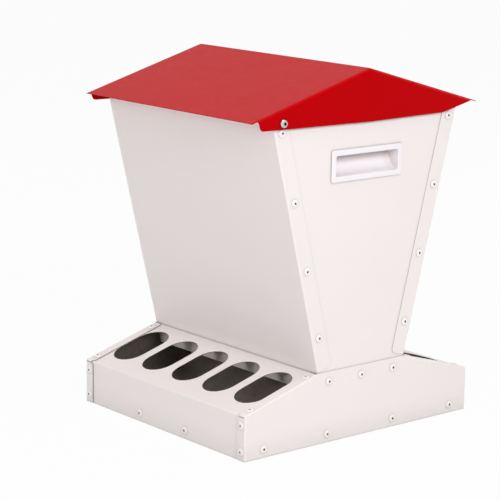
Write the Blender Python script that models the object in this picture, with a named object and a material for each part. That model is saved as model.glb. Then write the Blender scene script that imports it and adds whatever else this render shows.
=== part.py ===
"""Two-sided poultry feeder in folded sheet metal.

A hopper with leaning front and rear walls stands in a low base. Feed slides out
under the hopper's walls into a trough on each side, and the birds reach it through
five long holes in each sloping trough panel. A red gabled roof turns on two screws
near its front edge.

Metres, +Z up, -Y is the front, and the origin is in the middle of the underside.
"""

import math

import bmesh
import bpy
from mathutils import Matrix, Vector

# Sheet metal
SHEET = 0.001
FIT_GAP = 0.0003
BEND_RADIUS = 0.002
BEND_STEPS = 3
ARC_STEPS = 4

# Base, measured over its side panels
BASE_WIDTH = 0.440
BASE_DEPTH = 0.504
BASE_WALL_HEIGHT = 0.0762
SHOULDER_HEIGHT = 0.1217
SHOULDER_DEPTH = 0.195
SIDE_FLANGE = 0.020
FLANGE_TIP_RADIUS = 0.004
SLIT_WIDTH = 0.0012
SLIT_LENGTH = 0.0175
SHOULDER_RELIEF = 0.003
NOTCH_MARGIN = 0.003
PAN_FLANGE = 0.024
PAN_CORNER_SLIT = 0.0015

# Feed holes, placed along the slope of a trough panel
FEED_HOLE_COUNT = 5
FEED_HOLE_WIDTH = 0.0646
FEED_HOLE_PITCH = 0.0836
FEED_HOLE_LOWER_MARGIN = 0.0304
FEED_HOLE_UPPER_MARGIN = 0.0211
FEED_HOLE_STEPS = 10

# Hopper
HOPPER_LEAN = math.radians(14.2)
HOPPER_FLANGE = 0.030
HOPPER_FLANGE_FOOT = 0.0022
HOPPER_TIP_RADIUS = 0.008
HOPPER_SEAM = 0.0008
HOPPER_FLANGE_TOP = 0.001
HOPPER_MOUTH_DROP = 0.0387
HOPPER_RIM_HEIGHT = 0.548

# Ridge in the base that sends the feed to both troughs
DIVIDER_HEIGHT = 0.070
DIVIDER_SPREAD = 0.140
DIVIDER_FOOT = 0.012

# Recessed handles
HANDLE_LENGTH = 0.157
HANDLE_HEIGHT = 0.053
HANDLE_MOUTH_LENGTH = 0.138
HANDLE_MOUTH_HEIGHT = 0.034
HANDLE_DROP = 0.0845
HANDLE_DEPTH = 0.030
HANDLE_FLOOR = 0.011
HANDLE_WALL = 0.002
HANDLE_RIM = 0.0026
HANDLE_RIM_ROUND = 0.001
HANDLE_CORNER_RADIUS = 0.004
HANDLE_MOUTH_RADIUS = 0.0035
HANDLE_SCOOP_RADIUS = 0.019
HANDLE_BACK_RADIUS = 0.004

# Roof. Its folds to the gables are wide, and its ridge is as wide as they are.
EAVE_OVERHANG = 0.0436
ROOF_RISE = 0.0713
ROOF_FOLD_RADIUS = 0.006
ROOF_FOLD_STEPS = 5
GABLE_DROP = 0.0136
GABLE_DIP = 0.0025
GABLE_SETBACK = 0.0115
GABLE_TAPER = 0.0045
GABLE_CORNER_RADIUS = 0.008
GABLE_BREAK_MARGIN = 0.0805
EAVE_NOTCH = 0.0035
ROOF_SIDE_CLEARANCE = 0.002

# Roof pivots
PIVOT_INSET = 0.0173
PIVOT_DROP = 0.0044
SCREW_RADIUS = 0.004
SCREW_HEAD_RADIUS = 0.007
SCREW_HEAD_HEIGHT = 0.0044
SCREW_END = 0.003
SOCKET_WIDTH = 0.005
SOCKET_DEPTH = 0.0025
SPACER_RADIUS = 0.007
WASHER_RADIUS = 0.008
WASHER_THICKNESS = 0.0016
NUT_WIDTH = 0.013
NUT_HEIGHT = 0.0065
ROUND_STEPS = 20

# Blind rivets
RIVET_HEAD_RADIUS = 0.007
RIVET_HEAD_HEIGHT = 0.0019
RIVET_SHANK_RADIUS = 0.0024
RIVET_BULB_RADIUS = 0.0034
RIVET_BULB_LENGTH = 0.004
RIVET_RECESS_RADIUS = 0.0017
RIVET_RECESS_DEPTH = 0.0012
RIVET_SIDES = 8

# Where the rivets are: a margin or a drop is measured from the edge of its sheet
HOPPER_RIVET_COUNT = 4
HOPPER_RIVET_DROP = 0.0205
HOPPER_RIVET_FOOT = 0.0601
SHOULDER_RIVET_DROP = 0.0168
SHOULDER_RIVET_MARGIN = 0.0248
PAN_RIVET_HEIGHT = 0.0147
PAN_RIVET_MARGIN = 0.0395
PAN_RIVET_INNER = 0.0746
PAN_RIVET_FRONT = 0.0627
CORNER_RIVET_DROP = 0.0172
SLOPE_RIVET_LOWER_MARGIN = 0.019
SLOPE_RIVET_UPPER_MARGIN = 0.0185

# Reach of a cutting tool past the face it cuts
SPARE = 0.005

# Worked out from the sizes above. A layer is one sheet and the air beside it.
LAYER = SHEET + FIT_GAP
HALF_WIDTH = BASE_WIDTH / 2
HALF_DEPTH = BASE_DEPTH / 2
HALF_SHOULDER = SHOULDER_DEPTH / 2
BASE_SLOPE = math.atan2(SHOULDER_HEIGHT - BASE_WALL_HEIGHT, HALF_DEPTH - HALF_SHOULDER)
SLOPE_LENGTH = (HALF_DEPTH - HALF_SHOULDER) / math.cos(BASE_SLOPE)
SLIT_TOP = BASE_WALL_HEIGHT - BEND_RADIUS
SLIT_BOTTOM = SLIT_TOP - SLIT_WIDTH
FREE_EDGE = HALF_WIDTH - SIDE_FLANGE
CORNER_RIVET_HEIGHT = BASE_WALL_HEIGHT - CORNER_RIVET_DROP
SLOPE_RIVETS = (SLOPE_RIVET_LOWER_MARGIN, SLOPE_LENGTH - SLOPE_RIVET_UPPER_MARGIN)
HOPPER_MOUTH_HEIGHT = SHOULDER_HEIGHT - HOPPER_MOUTH_DROP
HANDLE_CENTRE_HEIGHT = HOPPER_RIM_HEIGHT - HANDLE_DROP
EAVE_HEIGHT = HOPPER_RIM_HEIGHT
HALF_RIM = HALF_SHOULDER + (HOPPER_RIM_HEIGHT - SHOULDER_HEIGHT) * math.tan(HOPPER_LEAN)
ROOF_DEPTH = 2 * (HALF_RIM + EAVE_OVERHANG)
RIDGE_HEIGHT = EAVE_HEIGHT + ROOF_RISE
GABLE_BOTTOM = EAVE_HEIGHT - GABLE_DROP
PIVOT_HEIGHT = EAVE_HEIGHT - PIVOT_DROP
PIVOT_Y = PIVOT_INSET + PIVOT_DROP * math.tan(HOPPER_LEAN) - HALF_RIM
ROOF_PITCH = math.atan2(ROOF_RISE, ROOF_DEPTH / 2)
GABLE_FACE = HALF_WIDTH + FIT_GAP + RIVET_HEAD_HEIGHT + ROOF_SIDE_CLEARANCE + SHEET
HOLE_RADIUS = (RIVET_SHANK_RADIUS + FIT_GAP) / math.cos(math.pi / RIVET_SIDES)
BEND_INSIDE = BEND_RADIUS - SHEET
HALF_TURN = (0.0, 0.0, math.pi)


def remove_everything():
    for thing in list(bpy.data.objects):
        bpy.data.objects.remove(thing, do_unlink=True)


def make_material(name, colour, roughness, metallic):
    material = bpy.data.materials.new(name)
    material.use_nodes = True
    shader = material.node_tree.nodes["Principled BSDF"]
    shader.inputs["Base Color"].default_value = (*colour, 1.0)
    shader.inputs["Roughness"].default_value = roughness
    shader.inputs["Metallic"].default_value = metallic
    material.diffuse_color = (*colour, 1.0)
    return material


def flat_cross(a, b):
    return a[0] * b[1] - a[1] * b[0]


def meeting_point(point, direction, other_point, other_direction):
    """Where two lines of the plane cross."""
    gap = Vector(other_point) - Vector(point)
    along = flat_cross(gap, other_direction) / flat_cross(direction, other_direction)
    return Vector(point) + Vector(direction) * along


def rounded(corners, radii, steps=ARC_STEPS, closed=True):
    """The corners of an outline, each turned into an arc of its radius."""
    points = []
    last = len(corners) - 1
    for index, corner in enumerate(corners):
        here = Vector(corner)
        at_end = not closed and index in (0, last)
        if at_end or radii[index] <= 0:
            points.append(here)
            continue
        back = (Vector(corners[index - 1]) - here).normalized()
        ahead = (Vector(corners[(index + 1) % len(corners)]) - here).normalized()
        half = back.angle(ahead) / 2
        reach = radii[index] / math.tan(half)
        centre = here + (back + ahead).normalized() * (radii[index] / math.sin(half))
        start = here + back * reach - centre
        end = here + ahead * reach - centre
        first = math.atan2(start.y, start.x)
        turn = math.atan2(flat_cross(start, end), start.dot(end))
        for step in range(steps + 1):
            angle = first + turn * step / steps
            points.append(centre + radii[index] * Vector((math.cos(angle), math.sin(angle))))
    return points


def moved_left(corners, distance, closed=True):
    """The same outline moved to the left of its own direction."""
    count = len(corners)
    ends = [(Vector(corners[i]), Vector(corners[(i + 1) % count])) for i in range(count)]
    if not closed:
        ends.pop()
    lines = []
    for start, end in ends:
        direction = (end - start).normalized()
        lines.append((start + Vector((-direction.y, direction.x)) * distance, direction))
    if closed:
        return [meeting_point(*lines[i - 1], *lines[i]) for i in range(count)]
    inner = [meeting_point(*lines[i - 1], *lines[i]) for i in range(1, len(lines))]
    tail = lines[-1][0] + (ends[-1][1] - ends[-1][0])
    return [lines[0][0], *inner, tail]


def folded_section(path, bend=BEND_RADIUS):
    """Outline of a folded sheet: the path is its outer face, and the sheet lies to its left."""
    inner = moved_left(path, SHEET, closed=False)
    outer_radii = [0.0] * len(path)
    inner_radii = [0.0] * len(path)
    for i in range(1, len(path) - 1):
        before = Vector(path[i]) - Vector(path[i - 1])
        after = Vector(path[i + 1]) - Vector(path[i])
        folds_left = flat_cross(before, after) > 0
        outer_radii[i] = bend if folds_left else bend - SHEET
        inner_radii[i] = bend - SHEET if folds_left else bend
    outer_line = rounded(path, outer_radii, BEND_STEPS, closed=False)
    inner_line = rounded(inner, inner_radii, BEND_STEPS, closed=False)
    return outer_line + inner_line[::-1]


def placed(axis, a, b, along):
    """A point of an outline in the plane square to an axis."""
    if axis == "X":
        return Vector((along, a, b))
    if axis == "Y":
        return Vector((a, along, b))
    return Vector((a, b, along))


def add_rings(shape, rings):
    """Skin over rings of equal size, with a flat face on the first and the last."""
    layers = [[shape.verts.new(point) for point in ring] for ring in rings]
    count = len(layers[0])
    for lower, upper in zip(layers, layers[1:]):
        for i in range(count):
            j = (i + 1) % count
            shape.faces.new((lower[i], lower[j], upper[j], upper[i]))
    shape.faces.new(layers[0][::-1])
    shape.faces.new(layers[-1])


def add_prism(shape, outline, axis, low, high):
    add_rings(shape, [[placed(axis, a, b, along) for a, b in outline] for along in (low, high)])


def add_box(shape, low, high):
    outline = [(low[0], low[1]), (high[0], low[1]), (high[0], high[1]), (low[0], high[1])]
    add_prism(shape, outline, "Z", low[2], high[2])


def add_turned(shape, profile, sides, placement):
    """A solid turned about its own Z, from (radius, height) points that start and end on it."""
    foot = shape.verts.new(placement @ Vector((0, 0, profile[0][1])))
    tip = shape.verts.new(placement @ Vector((0, 0, profile[-1][1])))
    rings = []
    for radius, height in profile[1:-1]:
        ring = []
        for i in range(sides):
            angle = 2 * math.pi * (i + 0.5) / sides
            point = Vector((radius * math.cos(angle), radius * math.sin(angle), height))
            ring.append(shape.verts.new(placement @ point))
        rings.append(ring)
    for i in range(sides):
        j = (i + 1) % sides
        shape.faces.new((foot, rings[0][j], rings[0][i]))
        for lower, upper in zip(rings, rings[1:]):
            shape.faces.new((lower[i], lower[j], upper[j], upper[i]))
        shape.faces.new((tip, rings[-1][i], rings[-1][j]))


def add_drill(shape, placement, radius=HOLE_RADIUS, sides=RIVET_SIDES, reach=SPARE):
    """A round cutting tool that crosses the sheet at a placement's origin."""
    add_turned(shape, [(0, -reach), (radius, -reach), (radius, reach), (0, reach)], sides, placement)


def add_corner_tool(shape, corner, along, across, through, radius):
    """What is cut away to round a corner: along and across are the sheet's edges there."""
    corner = Vector(corner)
    along = Vector(along).normalized()
    across = Vector(across).normalized()
    through = Vector(through).normalized()
    centre = corner + (along + across) * radius
    outside = corner - (along + across) * radius
    points = [outside, outside + along * 2 * radius]
    for step in range(ARC_STEPS + 1):
        angle = math.pi / 2 * step / ARC_STEPS
        points.append(centre - across * radius * math.cos(angle) - along * radius * math.sin(angle))
    points.append(outside + across * 2 * radius)
    add_rings(shape, [[point + through * side for point in points] for side in (-SPARE, SPARE)])


def make_mesh(name, shape):
    bmesh.ops.recalc_face_normals(shape, faces=shape.faces)
    mesh = bpy.data.meshes.new(name)
    shape.to_mesh(mesh)
    shape.free()
    return mesh


def smooth(mesh):
    mesh.shade_smooth()
    mesh.set_sharp_from_angle(angle=math.radians(35))


def make_object(name, mesh, material, location=(0, 0, 0), rotation=(0, 0, 0)):
    piece = bpy.data.objects.new(name, mesh)
    if material and not mesh.materials:
        mesh.materials.append(material)
    piece.location = location
    piece.rotation_euler = rotation
    bpy.context.scene.collection.objects.link(piece)
    return piece


def combine(piece, shape, operation="DIFFERENCE"):
    """Cuts a shape out of a piece, or joins it on, and keeps the result as the piece's mesh."""
    tool = bpy.data.objects.new("tool", make_mesh("tool", shape))
    tool.location = piece.location
    tool.rotation_euler = piece.rotation_euler
    tool.hide_render = True
    tool.display_type = "WIRE"
    bpy.context.scene.collection.objects.link(tool)
    change = piece.modifiers.new("shape", "BOOLEAN")
    change.operation = operation
    change.solver = "EXACT"
    change.object = tool
    graph = bpy.context.evaluated_depsgraph_get()
    result = bpy.data.meshes.new_from_object(piece.evaluated_get(graph))
    piece.modifiers.remove(change)
    old = piece.data
    piece.data = result
    bpy.data.meshes.remove(old)
    bpy.data.objects.remove(tool, do_unlink=True)


def facing(point, outward, level=(0, 0, 1)):
    """Placement at a point whose own Z looks outward."""
    z_axis = Vector(outward).normalized()
    y_axis = (Vector(level) - z_axis * Vector(level).dot(z_axis)).normalized()
    x_axis = y_axis.cross(z_axis)
    turn = Matrix((x_axis, y_axis, z_axis)).transposed().to_4x4()
    return Matrix.Translation(Vector(point)) @ turn


def slope_point(distance, inset=0.0):
    """(y, z) on the front slope, a distance up from the base's front edge and below the flange."""
    y = -HALF_DEPTH + distance * math.cos(BASE_SLOPE) + inset * math.sin(BASE_SLOPE)
    z = BASE_WALL_HEIGHT + distance * math.sin(BASE_SLOPE) - inset * math.cos(BASE_SLOPE)
    return Vector((y, z))


def hopper_half_depth(height):
    """Outer half depth of the hopper at a height."""
    return HALF_SHOULDER + (height - SHOULDER_HEIGHT) * math.tan(HOPPER_LEAN)


def up_the_wall(height):
    """Distance along the hopper's leaning wall from the shoulder to a height."""
    return (height - SHOULDER_HEIGHT) / math.cos(HOPPER_LEAN)


def roof_height(y):
    """Height of the roof's upper face."""
    return RIDGE_HEIGHT - abs(y) * math.tan(ROOF_PITCH)


def roof_underside(y):
    return roof_height(y) - SHEET / math.cos(ROOF_PITCH)


def hopper_rivet_heights():
    """From the highest to the lowest, evenly spaced."""
    top = HOPPER_RIM_HEIGHT - HOPPER_RIVET_DROP
    pitch = (top - SHOULDER_HEIGHT - HOPPER_RIVET_FOOT) / (HOPPER_RIVET_COUNT - 1)
    return [top - pitch * i for i in range(HOPPER_RIVET_COUNT)]


def hopper_rivet_y(height):
    """Half depth of the middle of the hopper's flange at a height."""
    return hopper_half_depth(height) - HOPPER_FLANGE / 2 / math.cos(HOPPER_LEAN)


def shoulder_rivet_places():
    """(y, z) of the rivets that join a base side to the hopper's foot."""
    outer = HALF_SHOULDER - SHOULDER_RIVET_MARGIN
    return [(y, SHOULDER_HEIGHT - SHOULDER_RIVET_DROP) for y in (-outer, 0, outer)]


def pan_side_rivet_places():
    """(y, z) of the rivets that join a base side to the floor pan."""
    outer = HALF_DEPTH - PAN_RIVET_MARGIN
    return [(y, PAN_RIVET_HEIGHT) for y in (-outer, -PAN_RIVET_INNER, PAN_RIVET_INNER, outer)]


def flange_rivet_x():
    return HALF_WIDTH - SIDE_FLANGE / 2


def rivet_profile(seat, grip):
    """Turned profile of a set blind rivet: seat is its head's underside, above the sheet."""
    top = seat + RIVET_HEAD_HEIGHT
    bulb = -grip - FIT_GAP
    return [
        (0, bulb - RIVET_BULB_LENGTH),
        (RIVET_RECESS_RADIUS, bulb - RIVET_BULB_LENGTH),
        (RIVET_BULB_RADIUS, bulb - RIVET_BULB_LENGTH / 2),
        (RIVET_SHANK_RADIUS, bulb),
        (RIVET_SHANK_RADIUS, seat),
        (RIVET_HEAD_RADIUS, seat),
        (RIVET_HEAD_RADIUS * 0.72, seat + RIVET_HEAD_HEIGHT * 0.72),
        (RIVET_RECESS_RADIUS, top),
        (RIVET_RECESS_RADIUS, top - RIVET_RECESS_DEPTH),
        (0, top - RIVET_RECESS_DEPTH),
    ]


def make_rivets(paint):
    """Every rivet that is a piece by itself. A base side carries those of its own flanges."""
    shape = bmesh.new()
    add_turned(shape, rivet_profile(FIT_GAP, SHEET + LAYER), RIVET_SIDES, Matrix())
    mesh = make_mesh("rivet", shape)
    smooth(mesh)
    places = []
    for side, side_name in ((1, "right"), (-1, "left")):
        for end, end_name in ((-1, "front"), (1, "rear")):
            for number, height in enumerate(hopper_rivet_heights(), 1):
                point = (side * HALF_WIDTH, end * hopper_rivet_y(height), height)
                places.append((f"rivet_hopper_{side_name}_{end_name}_{number}", point, (side, 0, 0)))
        for row, row_places in (("shoulder", shoulder_rivet_places()), ("pan", pan_side_rivet_places())):
            for number, (y, z) in enumerate(row_places, 1):
                point = (side * HALF_WIDTH, y, z)
                places.append((f"rivet_{row}_{side_name}_{number}", point, (side, 0, 0)))
    for end, end_name in ((-1, "front"), (1, "rear")):
        for number, x in enumerate((-PAN_RIVET_FRONT, PAN_RIVET_FRONT), 1):
            point = (x, end * (HALF_DEPTH - LAYER), PAN_RIVET_HEIGHT)
            places.append((f"rivet_pan_{end_name}_{number}", point, (0, end, 0)))
    for name, point, outward in places:
        placement = facing(point, outward)
        make_object(name, mesh, paint, placement.translation, placement.to_euler())


def base_side_shape():
    """Skin of the right base side: a flat panel whose rim is folded back over the flanges."""
    apex = SHOULDER_HEIGHT + HALF_SHOULDER * math.tan(BASE_SLOPE)
    corners = [
        (-HALF_DEPTH, -SPARE),
        (HALF_DEPTH, -SPARE),
        (HALF_DEPTH, BASE_WALL_HEIGHT),
        (0, apex),
        (-HALF_DEPTH, BASE_WALL_HEIGHT),
    ]
    corner_radius = BEND_RADIUS + SHEET

    def ring(x, inset):
        outline = rounded(moved_left(corners, inset), [corner_radius - inset] * len(corners), BEND_STEPS)
        return [placed("X", y, z, x) for y, z in outline]

    bend_start = HALF_WIDTH - BEND_RADIUS
    rings = []
    for step in range(BEND_STEPS + 1):
        angle = math.pi / 2 * (1 - step / BEND_STEPS)
        inset = BEND_RADIUS * (1 - math.cos(angle))
        rings.append(ring(bend_start + BEND_RADIUS * math.sin(angle), inset))
    rings.append(ring(FREE_EDGE, 0))
    rings.append(ring(FREE_EDGE, SHEET))
    for step in range(BEND_STEPS + 1):
        angle = math.pi / 2 * step / BEND_STEPS
        inset = SHEET + BEND_INSIDE * (1 - math.cos(angle))
        rings.append(ring(bend_start + BEND_INSIDE * math.sin(angle), inset))
    shape = bmesh.new()
    add_rings(shape, rings)
    return shape


def make_base_sides(paint):
    piece = make_object("base_side_right", make_mesh("base_side", base_side_shape()), paint)
    inside = FREE_EDGE - SPARE
    outside = HALF_WIDTH + SPARE

    ends = bmesh.new()
    far = HALF_DEPTH + SPARE
    add_box(ends, (inside, -far, -2 * SPARE), (outside, far, 0))
    add_box(ends, (inside, -far, SHOULDER_HEIGHT), (outside, far, SHOULDER_HEIGHT + far))
    combine(piece, ends)

    trims = bmesh.new()
    clear = HALF_SHOULDER + SHOULDER_RELIEF
    above = SHOULDER_HEIGHT + SPARE
    add_box(trims, (inside, -clear, BASE_WALL_HEIGHT), (HALF_WIDTH - SHEET, clear, above))
    for end in (-1, 1):
        near, past = sorted((end * (HALF_DEPTH - SPARE), end * (HALF_DEPTH + SPARE)))
        add_box(trims, (inside, near, SLIT_BOTTOM), (FREE_EDGE + SLIT_LENGTH, past, SLIT_TOP))
    combine(piece, trims)

    tips = bmesh.new()
    for end in (-1, 1):
        face = end * (HALF_DEPTH - SHEET / 2)
        inward = (1, 0, 0)
        for height, along in ((0, (0, 0, 1)), (SLIT_BOTTOM, (0, 0, -1))):
            corner = (FREE_EDGE, face, height)
            add_corner_tool(tips, corner, along, inward, (0, 1, 0), FLANGE_TIP_RADIUS)
        up_slope = Vector((0, -end * math.cos(BASE_SLOPE), math.sin(BASE_SLOPE)))
        normal = Vector((0, end * math.sin(BASE_SLOPE), math.cos(BASE_SLOPE)))
        length = (HALF_DEPTH - clear) / math.cos(BASE_SLOPE)
        y, z = slope_point(length, SHEET / 2)
        top = Vector((FREE_EDGE, -end * y, z))
        add_corner_tool(tips, top, -up_slope, inward, normal, FLANGE_TIP_RADIUS)
    combine(piece, tips)

    drills = bmesh.new()
    for y, z in shoulder_rivet_places() + pan_side_rivet_places():
        add_drill(drills, facing((HALF_WIDTH, y, z), (1, 0, 0)))
    combine(piece, drills)

    rivets = bmesh.new()
    for placement, grip in flange_rivet_placements():
        add_turned(rivets, rivet_profile(-SHEET / 5, grip), RIVET_SIDES, placement)
    combine(piece, rivets, "UNION")
    finish_sheet(piece, paint)
    make_object("base_side_left", piece.data, paint, rotation=HALF_TURN)


def flange_rivet_placements():
    """Placement and grip of the rivets on the right base side's four flanges."""
    rows = []
    for end in (-1, 1):
        for height, layers in ((CORNER_RIVET_HEIGHT, 1), (PAN_RIVET_HEIGHT, 2)):
            point = (flange_rivet_x(), end * HALF_DEPTH, height)
            rows.append((facing(point, (0, end, 0)), SHEET + layers * LAYER))
        normal = (0, end * math.sin(BASE_SLOPE), math.cos(BASE_SLOPE))
        for distance in SLOPE_RIVETS:
            y, z = slope_point(distance)
            point = (flange_rivet_x(), -end * y, z)
            rows.append((facing(point, normal, (0, 1, 0)), SHEET + LAYER))
    return rows


def finish_sheet(piece, material):
    piece.data.materials.clear()
    piece.data.materials.append(material)
    smooth(piece.data)


def make_base_floor(zinc):
    """Floor pan with four upturned flanges, slit at its corners."""
    half_x = HALF_WIDTH - LAYER
    half_y = HALF_DEPTH - 2 * LAYER
    corners = [(-half_x, -half_y), (half_x, -half_y), (half_x, half_y), (-half_x, half_y)]
    corner_radius = BEND_RADIUS + SHEET

    def ring(z, inset):
        outline = rounded(moved_left(corners, inset), [corner_radius - inset] * len(corners), BEND_STEPS)
        return [placed("Z", x, y, z) for x, y in outline]

    rings = []
    for step in range(BEND_STEPS + 1):
        angle = math.pi / 2 * (1 - step / BEND_STEPS)
        rings.append(ring(BEND_RADIUS * (1 - math.sin(angle)), BEND_RADIUS * (1 - math.cos(angle))))
    rings.append(ring(PAN_FLANGE, 0))
    rings.append(ring(PAN_FLANGE, SHEET))
    for step in range(BEND_STEPS + 1):
        angle = math.pi / 2 * step / BEND_STEPS
        inset = SHEET + BEND_INSIDE * (1 - math.cos(angle))
        rings.append(ring(BEND_RADIUS - BEND_INSIDE * math.sin(angle), inset))
    shape = bmesh.new()
    add_rings(shape, rings)
    piece = make_object("base_floor", make_mesh("base_floor", shape), zinc)

    slits = bmesh.new()
    for x in (-1, 1):
        for y in (-1, 1):
            corner = Vector((x * half_x, y * half_y, 0))
            across = Vector((x, -y, 0)).normalized() * PAN_CORNER_SLIT / 2
            outward = Vector((x, y, 0)).normalized() * SPARE
            outline = [corner - outward - across, corner + outward - across,
                       corner + outward + across, corner - outward + across]
            add_prism(slits, [(p.x, p.y) for p in outline], "Z", BEND_RADIUS, PAN_FLANGE + SPARE)
    combine(piece, slits)

    drills = bmesh.new()
    for side in (-1, 1):
        for y, z in pan_side_rivet_places():
            add_drill(drills, facing((side * half_x, y, z), (side, 0, 0)))
        for x in (-flange_rivet_x(), -PAN_RIVET_FRONT, PAN_RIVET_FRONT, flange_rivet_x()):
            add_drill(drills, facing((x, side * half_y, PAN_RIVET_HEIGHT), (0, side, 0)))
    combine(piece, drills)
    finish_sheet(piece, zinc)


def make_trough_panels(paint):
    """Front wall and perforated slope, folded from one sheet. The rear one is the same."""
    half_x = HALF_WIDTH - BEND_RADIUS - FIT_GAP
    wall_y = -HALF_DEPTH + LAYER
    slope_direction = Vector((math.cos(BASE_SLOPE), math.sin(BASE_SLOPE)))
    slope_start = slope_point(0, LAYER)
    fold = meeting_point((wall_y, 0), Vector((0, 1)), slope_start, slope_direction)
    hopper_face = (-HALF_SHOULDER - HOPPER_SEAM / math.cos(HOPPER_LEAN), SHOULDER_HEIGHT)
    up_hopper = Vector((-math.sin(HOPPER_LEAN), math.cos(HOPPER_LEAN)))
    top = meeting_point(slope_start, slope_direction, hopper_face, up_hopper)
    section = folded_section([top, fold, (wall_y, 0)])
    shape = bmesh.new()
    add_prism(shape, section, "X", -half_x, half_x)
    piece = make_object("trough_panel_front", make_mesh("trough_panel", shape), paint)

    notches = bmesh.new()
    far = HALF_WIDTH + SPARE
    relief = -HALF_SHOULDER - SHOULDER_RELIEF
    for side in (-1, 1):
        low, high = sorted((side * (FREE_EDGE + NOTCH_MARGIN), side * far))
        add_box(notches, (low, wall_y - SPARE, SLIT_BOTTOM), (high, wall_y + SPARE, SLIT_TOP))
        add_box(notches, (low, relief, BASE_WALL_HEIGHT), (high, 0, SHOULDER_HEIGHT + SPARE))
    combine(piece, notches)

    holes = bmesh.new()
    radius = FEED_HOLE_WIDTH / 2
    length = SLOPE_LENGTH - FEED_HOLE_LOWER_MARGIN - FEED_HOLE_UPPER_MARGIN
    straight = length / 2 - radius
    outline = []
    for centre, first in ((straight, 0), (-straight, math.pi)):
        for step in range(FEED_HOLE_STEPS + 1):
            angle = first + math.pi * step / FEED_HOLE_STEPS
            outline.append((radius * math.cos(angle), centre + radius * math.sin(angle)))
    y, z = slope_point(FEED_HOLE_LOWER_MARGIN + length / 2, LAYER)
    normal = (0, -math.sin(BASE_SLOPE), math.cos(BASE_SLOPE))
    for number in range(FEED_HOLE_COUNT):
        x = (number - (FEED_HOLE_COUNT - 1) / 2) * FEED_HOLE_PITCH
        frame = facing((x, y, z), normal, (0, 1, 0))
        rings = [[frame @ Vector((a, b, level)) for a, b in outline] for level in (-SPARE, SPARE)]
        add_rings(holes, rings)
    combine(piece, holes)

    drills = bmesh.new()
    for x in (-PAN_RIVET_FRONT, PAN_RIVET_FRONT):
        add_drill(drills, facing((x, wall_y, PAN_RIVET_HEIGHT), (0, -1, 0)))
    for x in (-flange_rivet_x(), flange_rivet_x()):
        for height in (PAN_RIVET_HEIGHT, CORNER_RIVET_HEIGHT):
            add_drill(drills, facing((x, wall_y, height), (0, -1, 0)))
        for distance in SLOPE_RIVETS:
            y, z = slope_point(distance, LAYER)
            add_drill(drills, facing((x, y, z), normal, (0, 1, 0)))
    combine(piece, drills)
    finish_sheet(piece, paint)
    make_object("trough_panel_rear", piece.data, paint, rotation=HALF_TURN)


def make_hopper_wall(name, paint, rim_height, turn, with_pivots):
    """A leaning wall whose flanges wrap round the hopper's sides.

    It is drawn upright, with its own Y pointing into the hopper and its own Z up the
    wall from the shoulder, and then leaned and turned into place.
    """
    rim = up_the_wall(rim_height)
    mouth = up_the_wall(HOPPER_MOUTH_HEIGHT)
    path = [(-HALF_WIDTH, HOPPER_FLANGE), (-HALF_WIDTH, 0), (HALF_WIDTH, 0), (HALF_WIDTH, HOPPER_FLANGE)]
    section = folded_section(path)
    shape = bmesh.new()
    add_prism(shape, section, "Z", mouth, rim)
    location = (0, -HALF_SHOULDER, SHOULDER_HEIGHT)
    if turn:
        location = (0, HALF_SHOULDER, SHOULDER_HEIGHT)
    piece = make_object(name, make_mesh(name, shape), paint, location, (HOPPER_LEAN, 0, turn))

    trims = bmesh.new()
    foot = HOPPER_FLANGE_FOOT / math.cos(HOPPER_LEAN)
    for side in (-1, 1):
        near, far = sorted((side * (HALF_WIDTH - LAYER), side * (HALF_WIDTH + SPARE)))
        add_box(trims, (near, -SPARE, mouth - SPARE), (far, HOPPER_FLANGE + SPARE, foot))
        top = (far, HOPPER_FLANGE + SPARE, rim + SPARE)
        add_box(trims, (near, BEND_INSIDE, rim - HOPPER_FLANGE_TOP), top)
    combine(piece, trims)

    tools = bmesh.new()
    for side in (-1, 1):
        corner = (side * (HALF_WIDTH - SHEET / 2), HOPPER_FLANGE, foot)
        add_corner_tool(tools, corner, (0, 0, 1), (0, -1, 0), (1, 0, 0), HOPPER_TIP_RADIUS)
        for height in hopper_rivet_heights():
            point = (side * HALF_WIDTH, HOPPER_FLANGE / 2, up_the_wall_at_rivet(height))
            add_drill(tools, facing(point, (side, 0, 0)))
        if with_pivots:
            add_drill(tools, pivot_in_wall(side), SCREW_RADIUS + FIT_GAP, ROUND_STEPS)
    combine(piece, tools)
    finish_sheet(piece, paint)


def up_the_wall_at_rivet(height):
    """Distance up the wall of the rivet in the middle of its flange."""
    return up_the_wall(height) - HOPPER_FLANGE / 2 * math.tan(HOPPER_LEAN)


def pivot_in_wall(side):
    """Placement of a pivot hole in the front wall's own upright drawing."""
    foot = Matrix.Translation((0, -HALF_SHOULDER, SHOULDER_HEIGHT))
    lean = Matrix.Rotation(HOPPER_LEAN, 4, "X")
    pivot = facing((side * HALF_WIDTH, PIVOT_Y, PIVOT_HEIGHT), (side, 0, 0))
    return (foot @ lean).inverted() @ pivot


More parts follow.
